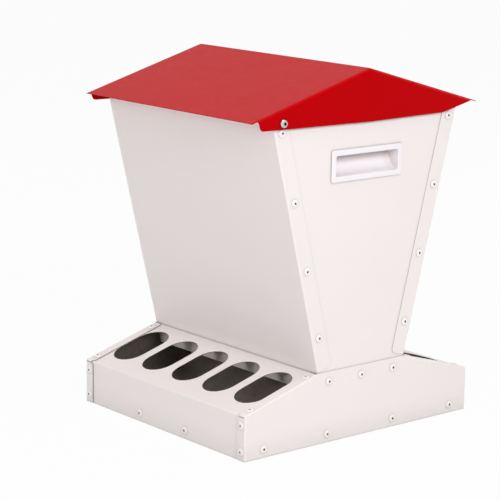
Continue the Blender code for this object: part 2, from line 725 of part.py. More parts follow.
def make_hopper_sides(paint):
    """Flat side panels that stand between the walls and reach down behind the base sides."""
    outer = HALF_WIDTH - LAYER
    inset = (BEND_RADIUS + FIT_GAP) / math.cos(HOPPER_LEAN)
    low = hopper_half_depth(HOPPER_MOUTH_HEIGHT) - inset
    high = hopper_half_depth(HOPPER_RIM_HEIGHT) - inset
    outline = [(-low, HOPPER_MOUTH_HEIGHT), (low, HOPPER_MOUTH_HEIGHT),
               (high, HOPPER_RIM_HEIGHT), (-high, HOPPER_RIM_HEIGHT)]
    for side, side_name in ((1, "right"), (-1, "left")):
        shape = bmesh.new()
        add_prism(shape, outline, "X", *sorted((side * outer, side * (outer - SHEET))))
        name = f"hopper_side_{side_name}"
        piece = make_object(name, make_mesh(name, shape), paint)
        tools = bmesh.new()
        for height in hopper_rivet_heights():
            for end in (-1, 1):
                point = (side * outer, end * hopper_rivet_y(height), height)
                add_drill(tools, facing(point, (side, 0, 0)))
        for y, z in shoulder_rivet_places():
            add_drill(tools, facing((side * outer, y, z), (side, 0, 0)))
        pivot = facing((side * outer, PIVOT_Y, PIVOT_HEIGHT), (side, 0, 0))
        add_drill(tools, pivot, SCREW_RADIUS + FIT_GAP, ROUND_STEPS)
        cut_out = mouth_outline(HANDLE_WALL + FIT_GAP)
        add_prism(tools, cut_out, "X", *sorted((side * (outer + SPARE), side * (outer - SPARE))))
        combine(piece, tools)
        finish_sheet(piece, paint)


def handle_outline(length, height, radius):
    """(y, z) outline of a rounded rectangle round the handle's centre."""
    low = HANDLE_CENTRE_HEIGHT - height / 2
    high = HANDLE_CENTRE_HEIGHT + height / 2
    half = length / 2
    corners = [(-half, low), (half, low), (half, high), (-half, high)]
    return rounded(corners, [radius] * 4)


def mouth_outline(wall):
    """Outline of the handle's mouth, or of the body round it when a wall is given."""
    length = HANDLE_MOUTH_LENGTH + 2 * wall
    height = HANDLE_MOUTH_HEIGHT + 2 * wall
    return handle_outline(length, height, HANDLE_MOUTH_RADIUS + wall)


def scoop_shape(wall, front):
    """The finger scoop, or the body round it when a wall is given, out to a front face.

    Its floor runs inward from the lower lip and sweeps up into a leaning back, so that
    fingers hook up behind the top.
    """
    face = HALF_WIDTH - LAYER
    low = HANDLE_CENTRE_HEIGHT - HANDLE_MOUTH_HEIGHT / 2
    high = low + HANDLE_MOUTH_HEIGHT
    corners = [(front, low), (front, high), (face - HANDLE_DEPTH, high), (face - HANDLE_FLOOR, low)]
    corners = moved_left(corners, -wall)
    corners[0].x = front
    corners[1].x = front
    section = rounded(corners, [0, 0, HANDLE_BACK_RADIUS + wall, HANDLE_SCOOP_RADIUS + wall])
    half = HANDLE_MOUTH_LENGTH / 2 + wall
    shape = bmesh.new()
    add_prism(shape, section, "Y", -half, half)
    solid = make_object("scoop", make_mesh("scoop", shape), None)

    mouth = bmesh.new()
    deepest = face - HANDLE_DEPTH - wall - SPARE
    add_prism(mouth, mouth_outline(wall), "X", deepest, front + SPARE)
    combine(solid, mouth, "INTERSECT")
    scoop = bmesh.new()
    scoop.from_mesh(solid.data)
    bpy.data.objects.remove(solid, do_unlink=True)
    return scoop


def make_handles(plastic):
    """Snap-in plastic pulls: a proud rim round a scooped pocket."""
    back = HALF_WIDTH - LAYER + FIT_GAP
    front = back + HANDLE_RIM
    shape = bmesh.new()
    rings = []
    for x, inset in ((back, 0), (front - HANDLE_RIM_ROUND, 0), (front, HANDLE_RIM_ROUND)):
        length = HANDLE_LENGTH - 2 * inset
        outline = handle_outline(length, HANDLE_HEIGHT - 2 * inset, HANDLE_CORNER_RADIUS - inset)
        rings.append([placed("X", y, z, x) for y, z in outline])
    add_rings(shape, rings)
    piece = make_object("handle_right", make_mesh("handle", shape), plastic)
    combine(piece, scoop_shape(HANDLE_WALL, back + HANDLE_RIM / 2), "UNION")
    combine(piece, scoop_shape(0, front + SPARE))
    finish_sheet(piece, plastic)
    make_object("handle_left", piece.data, plastic, rotation=HALF_TURN)


def make_feed_divider(zinc):
    """Folded ridge on the floor pan, with a foot along each side."""
    half_x = HALF_WIDTH - LAYER - BEND_RADIUS - FIT_GAP
    floor = LAYER + SHEET
    half = DIVIDER_SPREAD / 2
    foot = half + DIVIDER_FOOT
    path = [(-foot, floor), (-half, floor), (0, DIVIDER_HEIGHT), (half, floor), (foot, floor)]
    shape = bmesh.new()
    add_prism(shape, folded_section(path[::-1]), "X", -half_x, half_x)
    piece = make_object("feed_divider", make_mesh("feed_divider", shape), zinc)
    finish_sheet(piece, zinc)


def make_roof(paint):
    """Folded roof with a gable at each end. Its origin is on the line of the two pivots."""
    pivot = Vector((0, PIVOT_Y, PIVOT_HEIGHT))
    half_depth = ROOF_DEPTH / 2
    far = half_depth + 4 * SPARE
    low = GABLE_BOTTOM - 4 * SPARE
    end_height = roof_height(far)
    corners = [(-far, low), (far, low), (far, end_height), (0, RIDGE_HEIGHT), (-far, end_height)]

    def ring(x, inset, extra):
        radius = ROOF_FOLD_RADIUS + extra - inset
        outline = rounded(moved_left(corners, inset), [radius] * len(corners), BEND_STEPS)
        return [placed("X", y, z, x) - pivot for y, z in outline]

    def solid(inset, bend, extra):
        start = GABLE_FACE - ROOF_FOLD_RADIUS
        shape = bmesh.new()
        half_rings = []
        for step in range(ROOF_FOLD_STEPS + 1):
            angle = math.pi / 2 * (1 - step / ROOF_FOLD_STEPS)
            half_rings.append((start + bend * math.sin(angle), inset + bend * (1 - math.cos(angle))))
        rings = [ring(x, depth, extra) for x, depth in half_rings]
        rings += [ring(-x, depth, extra) for x, depth in reversed(half_rings)]
        add_rings(shape, rings)
        return shape

    piece = make_object("roof", make_mesh("roof", solid(0, ROOF_FOLD_RADIUS, SHEET)), paint, pivot)
    fold_inside = ROOF_FOLD_RADIUS - SHEET
    combine(piece, solid(SHEET, fold_inside, SHEET))

    eaves = bmesh.new()
    wide = GABLE_FACE + SPARE
    for end in (-1, 1):
        near, outside = sorted((end * half_depth, end * (far + SPARE)))
        lower = Vector((-wide, near, low - SPARE)) - pivot
        upper = Vector((wide, outside, RIDGE_HEIGHT)) - pivot
        add_box(eaves, lower, upper)
    combine(piece, eaves)

    front = -half_depth + GABLE_SETBACK
    rear = half_depth - GABLE_SETBACK
    gable_break = half_depth - GABLE_BREAK_MARGIN
    above = RIDGE_HEIGHT + SPARE
    outline = rounded(
        [(-far, low - SPARE), (far, low - SPARE), (far, above),
         (rear, above), (rear, roof_underside(rear)), (gable_break, GABLE_BOTTOM),
         (0, GABLE_BOTTOM - GABLE_DIP), (front + GABLE_TAPER, GABLE_BOTTOM),
         (front, roof_underside(front)), (front, above), (-far, above)],
        [0, 0, 0, 0, 0, 0, 0, GABLE_CORNER_RADIUS, 0, 0, 0],
    )
    gables = bmesh.new()
    shifted = [(y - pivot.y, z - pivot.z) for y, z in outline]
    for side in (-1, 1):
        add_prism(gables, shifted, "X", *sorted((side * (GABLE_FACE - EAVE_NOTCH), side * wide)))
    combine(piece, gables)

    openings = bmesh.new()
    inside = GABLE_FACE - SHEET - fold_inside / 5
    bottom = Vector((-inside, -half_depth - SPARE, low - SPARE)) - pivot
    add_box(openings, bottom, Vector((inside, half_depth + SPARE, low + ROOF_FOLD_RADIUS + SPARE)) - pivot)
    combine(piece, openings)

    drills = bmesh.new()
    for side in (-1, 1):
        point = Vector((side * GABLE_FACE, PIVOT_Y, PIVOT_HEIGHT)) - pivot
        add_drill(drills, facing(point, (side, 0, 0)), SCREW_RADIUS + FIT_GAP, ROUND_STEPS)
    combine(piece, drills)
    finish_sheet(piece, paint)


def make_pivots(steel, zinc):
    """Each pivot: button screw outside, spacer behind the gable, washer and nut inside."""
    inner_face = HALF_WIDTH - LAYER - SHEET
    head_seat = GABLE_FACE + FIT_GAP
    washer_face = inner_face - FIT_GAP
    nut_face = washer_face - WASHER_THICKNESS - FIT_GAP
    nut_end = nut_face - NUT_HEIGHT
    bore = SCREW_RADIUS + FIT_GAP
    socket_radius = SOCKET_WIDTH / 2 / math.cos(math.pi / 6)

    def heights(*values):
        return [value - head_seat for value in values]

    tip, = heights(nut_end - SCREW_END)
    screw = bmesh.new()
    chamfer = SCREW_RADIUS * 0.2
    profile = [(0, tip), (SCREW_RADIUS - chamfer, tip), (SCREW_RADIUS, tip + chamfer),
               (SCREW_RADIUS, 0), (SCREW_HEAD_RADIUS, 0)]
    flat = SCREW_HEAD_RADIUS * 0.55
    for step in range(1, ARC_STEPS + 1):
        angle = math.pi / 2 * step / ARC_STEPS
        radius = flat + (SCREW_HEAD_RADIUS - flat) * math.cos(angle)
        profile.append((radius, SCREW_HEAD_HEIGHT * math.sin(angle)))
    profile.append((0, SCREW_HEAD_HEIGHT))
    add_turned(screw, profile, ROUND_STEPS, Matrix())
    socket = bmesh.new()
    floor = SCREW_HEAD_HEIGHT - SOCKET_DEPTH
    above = SCREW_HEAD_HEIGHT + SPARE
    socket_profile = [(0, floor), (socket_radius, floor), (socket_radius, above), (0, above)]
    add_turned(socket, socket_profile, 6, Matrix())

    rings = (
        ("pivot_spacer", SPACER_RADIUS, ROUND_STEPS, HALF_WIDTH + FIT_GAP, GABLE_FACE - SHEET - FIT_GAP),
        ("pivot_washer", WASHER_RADIUS, ROUND_STEPS, washer_face - WASHER_THICKNESS, washer_face),
        ("pivot_nut", NUT_WIDTH / 2 / math.cos(math.pi / 6), 6, nut_end, nut_face),
    )
    for side, side_name in ((1, "right"), (-1, "left")):
        seat = facing((side * head_seat, PIVOT_Y, PIVOT_HEIGHT), (side, 0, 0))
        location = seat.translation
        rotation = seat.to_euler()
        name = f"pivot_screw_{side_name}"
        if side == 1:
            piece = make_object(name, make_mesh("pivot_screw", screw), steel, location, rotation)
            combine(piece, socket)
            finish_sheet(piece, steel)
            screw_mesh = piece.data
        else:
            make_object(name, screw_mesh, steel, location, rotation)
        for ring_name, radius, sides, near, far in rings:
            low, high = heights(near, far)
            shape = bmesh.new()
            add_turned(shape, [(0, low), (radius, low), (radius, high), (0, high)], sides, Matrix())
            mesh = make_mesh(ring_name, shape)
            ring_piece = make_object(f"{ring_name}_{side_name}", mesh, zinc, location, rotation)
            low -= SPARE
            high += SPARE
            hole = bmesh.new()
            add_turned(hole, [(0, low), (bore, low), (bore, high), (0, high)], ROUND_STEPS, Matrix())
            combine(ring_piece, hole)
            finish_sheet(ring_piece, zinc)


def main():
    remove_everything()
    white_paint = make_material("white_paint", (0.87, 0.82, 0.80), 0.45, 0.0)
    red_paint = make_material("red_paint", (0.49, 0.0, 0.005), 0.35, 0.0)
    white_plastic = make_material("white_plastic", (0.88, 0.87, 0.93), 0.35, 0.0)
    zinc = make_material("zinc", (0.45, 0.44, 0.42), 0.45, 0.9)
    steel = make_material("steel", (0.60, 0.59, 0.57), 0.25, 1.0)

    make_base_floor(zinc)
    make_base_sides(white_paint)
    make_trough_panels(white_paint)
    make_feed_divider(zinc)
    make_hopper_wall("hopper_front", white_paint, HOPPER_RIM_HEIGHT, 0.0, True)
    make_hopper_wall("hopper_rear", white_paint, rear_rim_height(), math.pi, False)
    make_hopper_sides(white_paint)
    make_handles(white_plastic)
    make_roof(red_paint)
    make_pivots(steel, zinc)
    make_rivets(white_paint)


def rear_rim_height():
    """Height at which the rear wall's outer top edge comes up under the closed roof."""
    wall = Vector((math.sin(HOPPER_LEAN), math.cos(HOPPER_LEAN)))
    slope = Vector((math.cos(ROOF_PITCH), -math.sin(ROOF_PITCH)))
    under = SHEET + FIT_GAP
    line = Vector((0, RIDGE_HEIGHT)) - under * Vector((math.sin(ROOF_PITCH), math.cos(ROOF_PITCH)))
    return meeting_point((HALF_SHOULDER, SHOULDER_HEIGHT), wall, line, slope).y


main()
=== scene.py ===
import math

import bmesh
import bpy
from mathutils import Matrix, Vector


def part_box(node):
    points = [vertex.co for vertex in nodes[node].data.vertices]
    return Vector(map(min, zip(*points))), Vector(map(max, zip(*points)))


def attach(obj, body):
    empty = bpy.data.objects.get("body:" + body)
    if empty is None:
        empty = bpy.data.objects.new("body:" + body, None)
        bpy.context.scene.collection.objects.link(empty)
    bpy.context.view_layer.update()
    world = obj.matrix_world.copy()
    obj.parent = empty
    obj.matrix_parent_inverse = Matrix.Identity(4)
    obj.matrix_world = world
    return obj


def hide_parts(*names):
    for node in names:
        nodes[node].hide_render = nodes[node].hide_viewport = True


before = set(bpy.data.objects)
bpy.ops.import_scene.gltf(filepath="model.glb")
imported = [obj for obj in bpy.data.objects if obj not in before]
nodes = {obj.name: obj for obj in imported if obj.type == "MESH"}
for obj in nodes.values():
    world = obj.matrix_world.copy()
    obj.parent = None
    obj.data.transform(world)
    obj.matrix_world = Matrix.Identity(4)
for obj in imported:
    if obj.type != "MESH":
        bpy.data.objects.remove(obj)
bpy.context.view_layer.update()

# Sheets of the base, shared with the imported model, in metres like every length here
BASE_DEPTH = 0.504
BASE_WIDTH = 0.440
BASE_WALL_HEIGHT = 0.0762
SHOULDER_HEIGHT = 0.1217
SHOULDER_DEPTH = 0.195
BASE_SLOPE = math.atan2(SHOULDER_HEIGHT - BASE_WALL_HEIGHT, (BASE_DEPTH - SHOULDER_DEPTH) / 2)
SIDE_FLANGE = 0.020
FIT_GAP = 0.0003
SHEET = 0.001

# Cosines that tell the inner faces and cut edges of the base's sheets
INWARD_OF_SIDE = -0.5
INWARD_OF_WALL = -0.9
EDGE_OF_SLOPE = 0.15

# Rivets. The lip and the mandrel are (share of the hole's radius, depth below the head's top).
RIVET_GRIP = 0.0023
RIVET_SHANK_RADIUS = 0.0024
RIVET_HEAD_RADIUS = 0.00703
RIVET_HEAD_HEIGHT = 0.0019
RIVET_EDGE = 0.0002
RIVET_FOOT_SHARE = 0.985
RIVET_HOLE = 0.0019
RIVET_LIP_START = 1.3
RIVET_LIP = ((1.08, 0.00002), (1.0, 0.00012))
RIVET_MANDREL = ((0.97, 0.0013), (0.6, 0.0014), (0.3, 0.0010), (0, 0.00095))
RIVET_DOME_STEPS = 8
RIVET_SIDES = 32
RIVET_SHARP_ANGLE = 38

# The set end of a rivet: (radius, depth below the sheets)
RIVET_BULB = (
    (0, 0.0041), (0.0012, 0.0041), (0.0022, 0.0036), (0.0031, 0.0028),
    (0.0034, 0.0019), (0.0032, 0.0010), (RIVET_SHANK_RADIUS, 0),
)

# Rivets of the base sides' flanges: heights up the low wall, and distances up the slope from its fold
FLANGE_RIVET_HOLE = 0.0017
FLANGE_RIVET_SEAT = 0.00002
FLANGE_RIVET_HEIGHTS = (0.0147, 0.059)
FLANGE_RIVET_DISTANCES = (0.019, 0.14256)

# Hexagon socket of the pivot screws
SOCKET_DEPTH = 0.0025
SOCKET_REACH = 0.00295
SOCKET_MARGIN = 0.00025

# Handle
HANDLE_LENGTH = 0.157
HANDLE_HEIGHT = 0.053
HANDLE_MOUTH_LENGTH = 0.138
HANDLE_MOUTH_HEIGHT = 0.034
HANDLE_CENTRE_HEIGHT = 0.4635
HANDLE_DEPTH = 0.030
HANDLE_FLOOR = 0.011
HANDLE_WALL = 0.002
HANDLE_RIM = 0.0026
HANDLE_FACE = BASE_WIDTH / 2 - SHEET - FIT_GAP
HANDLE_SHARP_ANGLE = 40
BODY_CORNER = 0.0055
RIM_CORNER = 0.0042
RIM_ROUND = 0.0012
RIM_STEPS = 5
MOUTH_CORNER = 0.0035
MOUTH_ROUND = 0.0007
MOUTH_STEPS = 4
SCOOP_START = 0.0009
SCOOP_TOP_ROUND = 0.004
SCOOP_TOP_STEPS = 10
SCOOP_FOOT_ROUND = 0.019
SCOOP_FOOT_STEPS = 14
SCOOP_END_BAND = 0.0001
SCOOP_END_STEP = 0.00006
SLAB_CORNER_STEPS = 6
SLAB_CORNER_LIMIT = 0.49

# The rim's edge against the hopper: (distance from the sheet, inset)
RIM_REAR = ((0.0, 0.0008), (0.0004, 0.0003), (0.0008, 0.0))

# Camera, solved from the photograph's own edges, with its lens and sensor in millimetres
CAMERA_PLACE = Vector((2.5109, -2.1651, 0.98166))
CAMERA_RIGHT = Vector((0.63949, 0.76866, 0.01480))
CAMERA_UP = Vector((-0.16872, 0.12153, 0.97814))
CAMERA_LENS = 140.18
CAMERA_SENSOR = 36.0
CAMERA_REACH = 50.0

# Lamps: name, place, size and watts. They all look at the middle of the feeder.
FEEDER_MIDDLE = Vector((0, 0, 0.3))
LAMPS = (
    ("key", (3.2, -0.9, 2.0), (1.3, 1.3), 75.0),
    ("front", (0.45, -3.5, 0.9), (0.8, 0.6), 22.0),
    ("high_front", (-0.9, -3.0, 1.8), (0.8, 0.8), 8.0),
    ("top", (0.2, 0.2, 3.6), (2.2, 2.2), 39.0),
    ("rear", (-0.2, 3.5, 0.9), (1.2, 1.2), 20.0),
    ("left", (-3.4, -0.7, 0.9), (1.2, 1.2), 20.0),
)
WORLD_COLOUR = (1.0, 0.985, 0.98)
WORLD_STRENGTH = 0.25

# Floor
FLOOR_HALF_SIZE = 20.0
FLOOR_DROP = 0.0005
FLOOR_GREY = 0.71
FLOOR_ROUGHNESS = 0.9
FLOOR_GLOW_SHARE = 0.96


def new_material(name):
    """A material, its node tree, and the shader that it starts with."""
    material = bpy.data.materials.new(name)
    material.use_nodes = True
    return material, material.node_tree, material.node_tree.nodes["Principled BSDF"]


def object_coordinates(tree):
    return tree.nodes.new("ShaderNodeTexCoord").outputs["Object"]


def noise(tree, coordinates, scale, detail=2.0, roughness=0.5):
    node = tree.nodes.new("ShaderNodeTexNoise")
    node.inputs["Scale"].default_value = scale
    node.inputs["Detail"].default_value = detail
    node.inputs["Roughness"].default_value = roughness
    tree.links.new(coordinates, node.inputs["Vector"])
    return node.outputs["Fac"]


def remapped(tree, value, from_low, from_high, low, high):
    """Maps a value from one range to another, and keeps it inside that."""
    node = tree.nodes.new("ShaderNodeMapRange")
    node.inputs["From Min"].default_value = from_low
    node.inputs["From Max"].default_value = from_high
    node.inputs["To Min"].default_value = low
    node.inputs["To Max"].default_value = high
    tree.links.new(value, node.inputs["Value"])
    return node.outputs["Result"]


def spread(tree, value, low, high):
    """Maps a 0 to 1 value, taken round its middle, to a range."""
    return remapped(tree, value, from_low=0.3, from_high=0.7, low=low, high=high)


def mix_towards(tree, factor, other):
    """A colour mix whose second colour is set and whose first one isn't yet."""
    node = tree.nodes.new("ShaderNodeMix")
    node.data_type = "RGBA"
    tree.links.new(factor, node.inputs["Factor"])
    node.inputs["B"].default_value = (*other, 1.0)
    return node


def tinted(tree, factor, colour, other):
    node = mix_towards(tree, factor, other)
    node.inputs["A"].default_value = (*colour, 1.0)
    return node.outputs["Result"]


def painted_crevice_shade(tree, colour, crevice_shade_colour, reach, depth):
    """Painted shade: darkens a colour in the crevices, beside edges and round heads, where ambient occlusion
    finds them.
    """
    crevice = tree.nodes.new("ShaderNodeAmbientOcclusion")
    crevice.samples = 8
    crevice.inputs["Distance"].default_value = reach
    amount = remapped(tree, crevice.outputs["AO"], from_low=1.0, from_high=0.4, low=0.0, high=depth)
    node = mix_towards(tree, amount, crevice_shade_colour)
    tree.links.new(colour, node.inputs["A"])
    return node.outputs["Result"]


def bumped(tree, shader, height, strength, distance):
    node = tree.nodes.new("ShaderNodeBump")
    node.inputs["Strength"].default_value = strength
    node.inputs["Distance"].default_value = distance
    tree.links.new(height, node.inputs["Height"])
    tree.links.new(node.outputs["Normal"], shader.inputs["Normal"])


def powder_coat(name, colour, shade, gloss, peel=0.10, crevice_shade_colour=(0.20, 0.17, 0.16)):
    """Powder coat: fine orange peel, faint clouding, uneven gloss and painted shade in its crevices."""
    material, tree, shader = new_material(name)
    coordinates = object_coordinates(tree)
    clouds = noise(tree, coordinates, scale=9.0, detail=4.0, roughness=0.6)
    base = tinted(tree, spread(tree, clouds, 0.0, 1.0), colour, shade)
    # Painted shade: a broad darkening under the eaves and beside the hopper, and a narrow one along seams
    # and round rivet heads.
    base = painted_crevice_shade(tree, base, crevice_shade_colour, reach=0.045, depth=0.16)
    base = painted_crevice_shade(tree, base, crevice_shade_colour, reach=0.004, depth=0.42)
    tree.links.new(base, shader.inputs["Base Color"])
    sheen = noise(tree, coordinates, scale=60.0, detail=3.0)
    tree.links.new(spread(tree, sheen, *gloss), shader.inputs["Roughness"])
    orange_peel = noise(tree, coordinates, scale=900.0)
    bumped(tree, shader, orange_peel, strength=peel, distance=0.0002)
    return material


def red_coat():
    """The roof's powder coat, whose highlights are weak and take its own colour."""
    # Its near-black red crevice colour is painted shade, beside the pivot screws and under the eave.
    material = powder_coat(
        "red_powder_coat", colour=(0.50, 0.0, 0.002), shade=(0.485, 0.0, 0.002),
        gloss=(0.42, 0.46), peel=0.04, crevice_shade_colour=(0.02, 0.0, 0.0),
    )
    shader = material.node_tree.nodes["Principled BSDF"]
    shader.inputs["Specular IOR Level"].default_value = 0.12
    shader.inputs["Specular Tint"].default_value = (1.0, 0.02, 0.02, 1.0)
    return material


def moulded_plastic(name, colour, shade, crevice_shade_colour):
    """Finely grained plastic with faint clouding and painted shade in its crevices."""
    material, tree, shader = new_material(name)
    coordinates = object_coordinates(tree)
    clouds = noise(tree, coordinates, scale=14.0)
    base = tinted(tree, spread(tree, clouds, 0.0, 1.0), colour, shade)
    # Painted shade deep in the scoop and round the rim.
    base = painted_crevice_shade(tree, base, crevice_shade_colour, reach=0.020, depth=0.52)
    tree.links.new(base, shader.inputs["Base Color"])
    grain = noise(tree, coordinates, scale=2200.0)
    tree.links.new(spread(tree, grain, 0.30, 0.42), shader.inputs["Roughness"])
    bumped(tree, shader, grain, strength=0.08, distance=0.0001)
    return material


def galvanised(name, colour, shade, metallic):
    """Zinc-coated sheet with its crystal spangle."""
    material, tree, shader = new_material(name)
    coordinates = object_coordinates(tree)
    crystals = tree.nodes.new("ShaderNodeTexVoronoi")
    crystals.inputs["Scale"].default_value = 120.0
    tree.links.new(coordinates, crystals.inputs["Vector"])
    channels = tree.nodes.new("ShaderNodeSeparateColor")
    tree.links.new(crystals.outputs["Color"], channels.inputs["Color"])
    spangle = channels.outputs["Red"]
    tree.links.new(tinted(tree, spangle, colour, shade), shader.inputs["Base Color"])
    tree.links.new(spread(tree, spangle, 0.42, 0.58), shader.inputs["Roughness"])
    shader.inputs["Metallic"].default_value = metallic
    fine = noise(tree, coordinates, scale=500.0, detail=3.0)
    bumped(tree, shader, fine, strength=0.12, distance=0.0002)
    return material


def machined_steel(name, colour, shade):
    """Bare metal with a fine grain in its colour and its gloss."""
    material, tree, shader = new_material(name)
    coordinates = object_coordinates(tree)
    grain = noise(tree, coordinates, scale=1500.0, detail=4.0)
    tree.links.new(tinted(tree, grain, colour, shade), shader.inputs["Base Color"])
    tree.links.new(spread(tree, grain, 0.16, 0.30), shader.inputs["Roughness"])
    shader.inputs["Metallic"].default_value = 1.0
    bumped(tree, shader, grain, strength=0.06, distance=0.0001)
    return material


WHITE = powder_coat(
    "white_powder_coat", colour=(0.905, 0.845, 0.832), shade=(0.896, 0.835, 0.821), gloss=(0.42, 0.52),
)
RIVET_WHITE = powder_coat(
    "rivet_paint", colour=(0.93, 0.89, 0.88), shade=(0.91, 0.865, 0.855), gloss=(0.34, 0.44), peel=0.06,
)
RED = red_coat()
# The pull's warm grey crevice colour is painted shade inside its scoop.
PLASTIC = moulded_plastic(
    "white_plastic", colour=(0.925, 0.89, 0.925), shade=(0.91, 0.875, 0.91), crevice_shade_colour=(0.56, 0.46, 0.40),
)
INSIDE = galvanised("bare_inside", (0.15, 0.13, 0.115), (0.12, 0.105, 0.09), metallic=0.45)
ZINC = galvanised("galvanised_sheet", (0.46, 0.41, 0.375), (0.38, 0.34, 0.31), metallic=0.6)
STEEL = machined_steel("stainless_steel", (0.62, 0.61, 0.60), (0.50, 0.49, 0.48))
# Near-black steel: the mandrels' bare steel, darkened as painted shade in their recesses, and painted shade
# in the screws' hexagon sockets.
MANDREL_AND_RECESS_SHADE = machined_steel("mandrel_steel_and_recess_shade", (0.10, 0.09, 0.085), (0.05, 0.045, 0.04))


def add_object(name, data):
    item = bpy.data.objects.new(name, data)
    bpy.context.scene.collection.objects.link(item)
    return item


def smooth_mesh(shape, name, materials, sharp_angle):
    """Turns a closed shape into a smooth mesh that keeps its sharp edges."""
    bmesh.ops.recalc_face_normals(shape, faces=shape.faces)
    mesh = bpy.data.meshes.new(name)
    shape.to_mesh(mesh)
    shape.free()
    for material in materials:
        mesh.materials.append(material)
    mesh.shade_smooth()
    mesh.set_sharp_from_angle(angle=math.radians(sharp_angle))
    return mesh


def quarter_turn(steps):
    """Angles from 0 to 90 degrees, both included."""
    return [math.pi / 2 * step / steps for step in range(steps + 1)]


def slope_normal(end):
    """The way that the base's slope looks, at the front (-1) or the rear (1)."""
    return Vector((0, end * math.sin(BASE_SLOPE), math.cos(BASE_SLOPE)))


def paint_node(name, outside, inside=None, picked=None):
    """Gives a node its finish, and another one to the faces that a test picks."""
    mesh = nodes[name].data
    mesh.materials.clear()
    mesh.materials.append(outside)
    if inside is None:
        return
    mesh.materials.append(inside)
    for face in mesh.polygons:
        face.material_index = 1 if picked(face) else 0


def in_side(side):
    """Tells the faces of a base side panel that look into the base."""
    return lambda face: face.normal.x * side < INWARD_OF_SIDE


def in_trough(end):
    """Tells a trough panel's inner faces and cut edges from its outer faces."""
    up = slope_normal(end)
    return lambda face: face.normal.y * end < INWARD_OF_WALL or face.normal.dot(up) < EDGE_OF_SLOPE


def in_socket(name):
    """Tells the faces of a screw's hexagon socket from the rest of its head and shank."""
    mesh = nodes[name].data
    place = nodes[name].matrix_world
    points = [place @ corner.co for corner in mesh.vertices]
    top = max(abs(point.x) for point in points)
    middle = Vector([(min(p[i] for p in points) + max(p[i] for p in points)) / 2 for i in (1, 2)])

    def test(face):
        corners = [points[index] for index in face.vertices]
        near = all((Vector((p.y, p.z)) - middle).length < SOCKET_REACH for p in corners)
        deepest = min(abs(p.x) for p in corners)
        return near and top - SOCKET_DEPTH - SOCKET_MARGIN < deepest < top - SOCKET_MARGIN
    return test


def finish_cad_nodes():
    for name in nodes:
        if name == "roof":
            paint_node(name, RED)
        elif name.startswith("handle"):
            paint_node(name, PLASTIC)
        elif name.startswith("pivot_screw"):
            # The hexagon socket is painted shade, in the near-black steel.
            paint_node(name, STEEL, MANDREL_AND_RECESS_SHADE, in_socket(name))
        elif name in ("base_floor", "feed_divider") or name.startswith("pivot"):
            paint_node(name, ZINC)
        elif name.startswith("rivet"):
            paint_node(name, RIVET_WHITE)
        elif name.startswith("hopper"):
            paint_node(name, WHITE)
        elif name.startswith("base_side"):
            paint_node(name, WHITE, INSIDE, in_side(1 if name.endswith("right") else -1))
        else:
            paint_node(name, WHITE, INSIDE, in_trough(1 if name.endswith("rear") else -1))


def placement(point, outward, level=(0, 0, 1)):
    """A frame at a point whose own Z looks outward."""
    z_axis = Vector(outward).normalized()
    y_axis = (Vector(level) - z_axis * Vector(level).dot(z_axis)).normalized()
    turn = Matrix((y_axis.cross(z_axis), y_axis, z_axis)).transposed().to_4x4()
    return Matrix.Translation(Vector(point)) @ turn


def rivet_head_profile(seat, hole):
    """Large-flange blind rivet: low dome, small lip round the mandrel hole, broken mandrel inside.

    Gives its (radius, height) points, and the number of the one where the mandrel's metal starts.
    """
    top = seat + RIVET_HEAD_HEIGHT
    rise = RIVET_HEAD_HEIGHT - RIVET_EDGE
    lip = hole * RIVET_LIP_START
    points = [(RIVET_HEAD_RADIUS * RIVET_FOOT_SHARE, seat)]
    for angle in quarter_turn(RIVET_DOME_STEPS):
        radius = lip + (RIVET_HEAD_RADIUS - lip) * math.cos(angle)
        points.append((radius, seat + RIVET_EDGE + rise * math.sin(angle)))
    points += [(hole * share, top - depth) for share, depth in RIVET_LIP]
    recess = len(points) - 1
    points += [(hole * share, top - depth) for share, depth in RIVET_MANDREL]
    return points, recess


def rivet_mesh(name, below, seat, hole):
    """A rivet turned about Z, from the points below its head to the end of its mandrel."""
    head, recess = rivet_head_profile(seat, hole)
    profile = below + head
    first_mandrel_ring = len(below) + recess - 1
    angles = [2 * math.pi * i / RIVET_SIDES for i in range(RIVET_SIDES)]
    shape = bmesh.new()
    foot = shape.verts.new((0, 0, profile[0][1]))
    tip = shape.verts.new((0, 0, profile[-1][1]))
    rings = []
    for radius, height in profile[1:-1]:
        rings.append([shape.verts.new((radius * math.cos(a), radius * math.sin(a), height)) for a in angles])
    # Faces from the mandrel hole inward take the near-black steel: the mandrel's bare steel, with painted
    # shade in its recess.
    for i in range(RIVET_SIDES):
        j = (i + 1) % RIVET_SIDES
        shape.faces.new((foot, rings[0][j], rings[0][i]))
        for level, (ring, above) in enumerate(zip(rings, rings[1:])):
            face = shape.faces.new((ring[i], ring[j], above[j], above[i]))
            face.material_index = 1 if level >= first_mandrel_ring else 0
        cap = shape.faces.new((tip, rings[-1][i], rings[-1][j]))
        cap.material_index = 1
    return smooth_mesh(shape, name, (RIVET_WHITE, MANDREL_AND_RECESS_SHADE), RIVET_SHARP_ANGLE)


